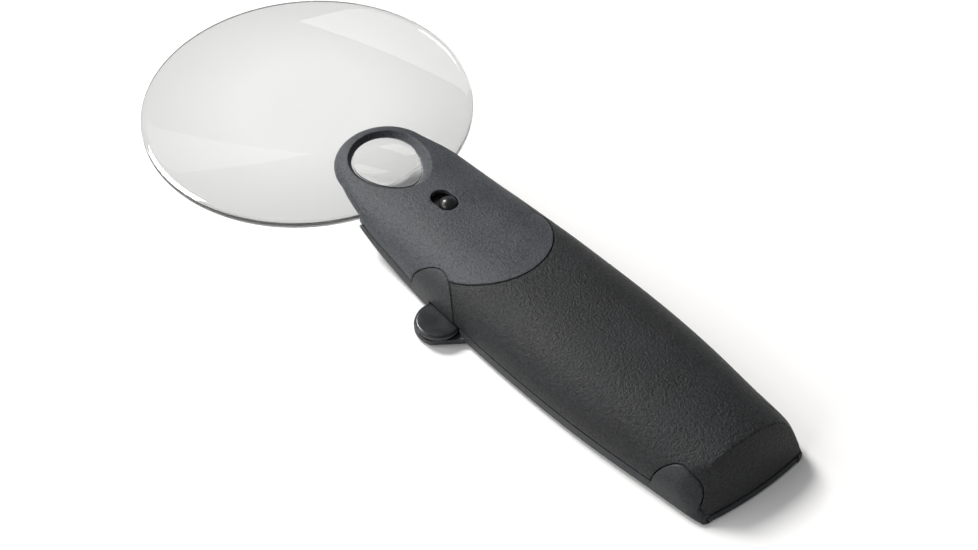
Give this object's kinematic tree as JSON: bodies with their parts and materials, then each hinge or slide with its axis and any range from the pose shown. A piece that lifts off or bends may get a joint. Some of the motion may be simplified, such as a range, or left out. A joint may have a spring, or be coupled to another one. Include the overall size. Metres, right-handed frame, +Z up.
{
  "type": "low vision magnifier",
  "caption": "Battery-lit hand magnifier: a large round rimless lens with a spot lens in the head ring, a contoured handle, a sliding light switch and a side thumbwheel.",
  "frame": {"origin": "on the table, under the centre of the bounding box", "axes": "+X from the handle's tail to the lens, +Y to the side with the thumbwheel, +Z up"},
  "size_m": [0.2549, 0.11, 0.0202],
  "materials": {
    "clear_acrylic": "polished clear acrylic",
    "spot_acrylic": "polished clear acrylic",
    "window_acrylic": "frosted clear acrylic",
    "head_plastic": "finely grained moulded plastic",
    "grip_plastic": "coarsely textured moulded plastic",
    "shell_plastic": "satin moulded plastic",
    "door_plastic": "satin moulded plastic",
    "knob_plastic": "smooth moulded plastic",
    "wheel_plastic": "smooth moulded plastic",
    "cell_sleeve": "printed metal-look sleeve",
    "steel": "plated",
    "board": "solder mask",
    "led_epoxy": "clear epoxy",
    "switch_case": "stamped",
    "spring_bronze": "bright",
    "chip_epoxy": "moulded",
    "ferrite": "matte",
    "red_insulation": "smooth",
    "black_insulation": "smooth",
    "grey_insulation": "smooth"
  },
  "bodies": {
    "frame": {"main_lens": "clear_acrylic", "spot_lens": "spot_acrylic", "head_cover": "head_plastic", "grip_cover": "grip_plastic", "lower_shell": "shell_plastic", "battery_left": "cell_sleeve", "battery_right": "cell_sleeve", "spring_left": "steel", "spring_right": "steel", "terminal_left": "steel", "terminal_right": "steel", "bridge_plate": "steel", "circuit_board": "board", "led": "led_epoxy", "led_window": "window_acrylic", "switch_body": "switch_case", "wheel_axle": "steel", "wheel_contact": "spring_bronze", "driver_chip": "chip_epoxy", "inductor": "ferrite", "wire_red": "red_insulation", "wire_black": "black_insulation", "switch_wire_left": "grey_insulation", "switch_wire_right": "grey_insulation", "lens_screw_left": "steel", "lens_screw_right": "steel", "shell_screw_left": "steel", "shell_screw_right": "steel", "shell_screw_rear": "steel"},
    "knob": {"switch_knob": "knob_plastic"},
    "wheel": {"thumbwheel": "wheel_plastic"},
    "door": {"battery_door": "door_plastic"}
  },
  "joints": [
    {"name": "switch_slide", "type": "slide", "parent": "frame", "child": "knob", "axis": [1, 0, 0], "range_m": [0, 0.0033]},
    {"name": "wheel_turn", "type": "hinge", "parent": "frame", "child": "wheel", "pos_m": [-0.023, 0.0256, 0.0038], "axis": [0, 0, 1], "range_deg": [0, 270]},
    {"name": "door_slide", "type": "slide", "parent": "frame", "child": "door", "axis": [-1, 0, 0], "range_m": [0, 0.062]}
  ]
}
